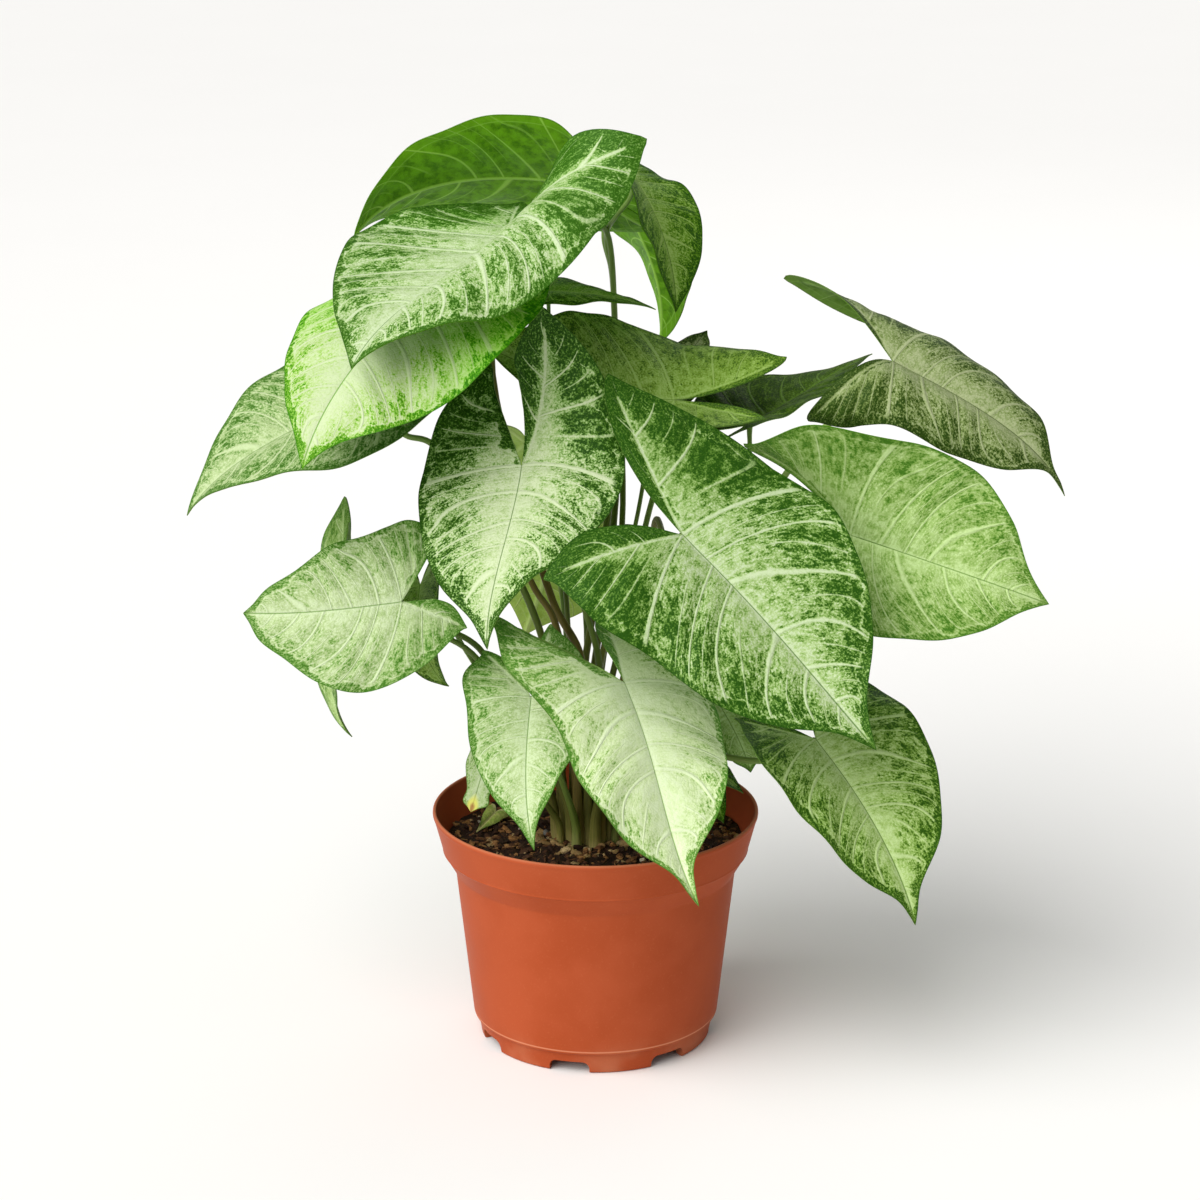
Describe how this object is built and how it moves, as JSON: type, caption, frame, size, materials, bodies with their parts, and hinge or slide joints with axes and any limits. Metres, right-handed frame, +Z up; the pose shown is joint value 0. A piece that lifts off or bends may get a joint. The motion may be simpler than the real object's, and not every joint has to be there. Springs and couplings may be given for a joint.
{
  "type": "potted syngonium",
  "caption": "Potted arrowhead vine: arrow-shaped cream and green leaves on thin stalks rising from the soil of a round tapered plastic nursery pot with a collared rim.",
  "frame": {"origin": "centre of the pot's foot, on the ground that the pot stands on", "axes": "+Z up along the pot's axis, +X to the right and +Y to the back as the plant is seen from its front, so the front faces -Y"},
  "size_m": [0.4023, 0.2828, 0.4306],
  "materials": {
    "pot": "satin",
    "soil": "matte",
    "crown": "matte",
    "blade": "satin",
    "stalk": "satin",
    "dried": "matte"
  },
  "bodies": {
    "root": {"pot": "pot", "soil": "soil", "crown": "crown", "blade_top_back": "blade", "blade_top_front": "blade", "blade_upper_left": "blade", "blade_far_left": "blade", "blade_centre": "blade", "blade_largest": "blade", "blade_middle_right": "blade", "blade_far_right": "blade", "blade_back_right": "blade", "blade_back_centre": "blade", "blade_folded_right": "blade", "blade_hanging_back": "blade", "blade_edge_on": "blade", "blade_lower_left": "blade", "blade_hanging_left": "blade", "blade_small_left": "blade", "blade_low_front": "blade", "blade_low_front_left": "blade", "blade_lower_right": "blade", "blade_young_back": "blade", "blade_low_right": "blade", "blade_rim_right": "blade", "blade_inner_right": "blade", "blade_old_left": "blade", "blade_behind_stalks": "blade", "blade_hidden_left": "blade", "blade_hidden_right": "blade", "stalk_top_back": "stalk", "stalk_top_front": "stalk", "stalk_upper_left": "stalk", "stalk_far_left": "stalk", "stalk_centre": "stalk", "stalk_largest": "stalk", "stalk_middle_right": "stalk", "stalk_far_right": "stalk", "stalk_back_right": "stalk", "stalk_back_centre": "stalk", "stalk_folded_right": "stalk", "stalk_hanging_back": "stalk", "stalk_edge_on": "stalk", "stalk_lower_left": "stalk", "stalk_hanging_left": "stalk", "stalk_small_left": "stalk", "stalk_low_front": "stalk", "stalk_low_front_left": "stalk", "stalk_lower_right": "stalk", "stalk_young_back": "stalk", "stalk_low_right": "stalk", "stalk_rim_right": "stalk", "stalk_inner_right": "stalk", "stalk_old_left": "stalk", "stalk_behind_stalks": "stalk", "stalk_hidden_left": "stalk", "stalk_hidden_right": "stalk", "shrivelled_leaf": "dried"}
  },
  "joints": []
}
